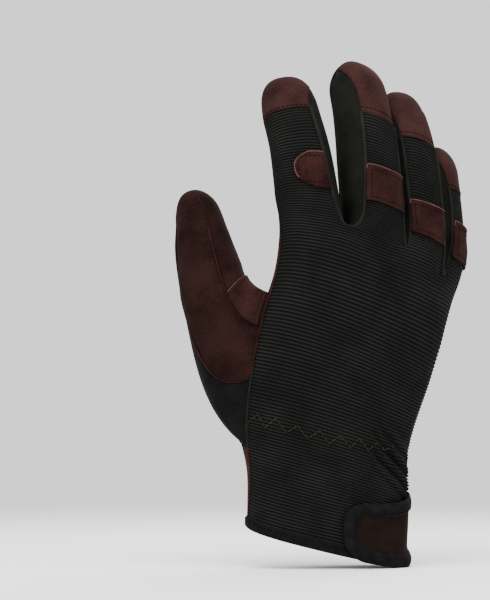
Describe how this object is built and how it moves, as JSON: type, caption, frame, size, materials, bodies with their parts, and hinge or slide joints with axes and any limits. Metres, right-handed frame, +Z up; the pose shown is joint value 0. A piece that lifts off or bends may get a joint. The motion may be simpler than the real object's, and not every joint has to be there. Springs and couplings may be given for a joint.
{
  "type": "work glove",
  "caption": "Right-hand work glove: suede palm, thumb and fingertips, ribbed stretch back, knuckle patches, taped cuff and a wrist tab.",
  "frame": {"origin": "centre of the cuff opening, at the lower edge of its tape", "axes": "+Z up along the hand to the fingertips, the back of the hand faces -Y, the thumb is at -X"},
  "size_m": [0.1444, 0.0887, 0.2466],
  "materials": {
    "rib_fabric": "ribbed stretch cloth, matt",
    "stretch_fabric": "smooth stretch cloth, matt",
    "suede": "napped suede, dark reddish brown",
    "suede_patch": "napped suede patches",
    "tape": "folded woven tape"
  },
  "bodies": {
    "root": {"back_panel": "rib_fabric", "palm_panel": "suede", "fingertip_index": "suede", "knuckle_patch_index": "suede_patch", "fingertip_middle": "suede", "knuckle_patch_middle": "suede_patch", "fingertip_ring": "suede", "knuckle_patch_ring": "suede_patch", "fingertip_little": "suede", "knuckle_patch_little": "suede_patch", "fourchette_index_middle": "stretch_fabric", "fourchette_middle_ring": "stretch_fabric", "fourchette_ring_little": "stretch_fabric", "thumb_back": "suede", "thumb_palm": "suede", "thumb_side_strip": "stretch_fabric", "thumb_crotch_patch": "suede_patch", "palm_patch": "suede_patch", "cuff_binding": "tape", "wrist_tab": "suede", "tab_binding": "tape"}
  },
  "joints": []
}
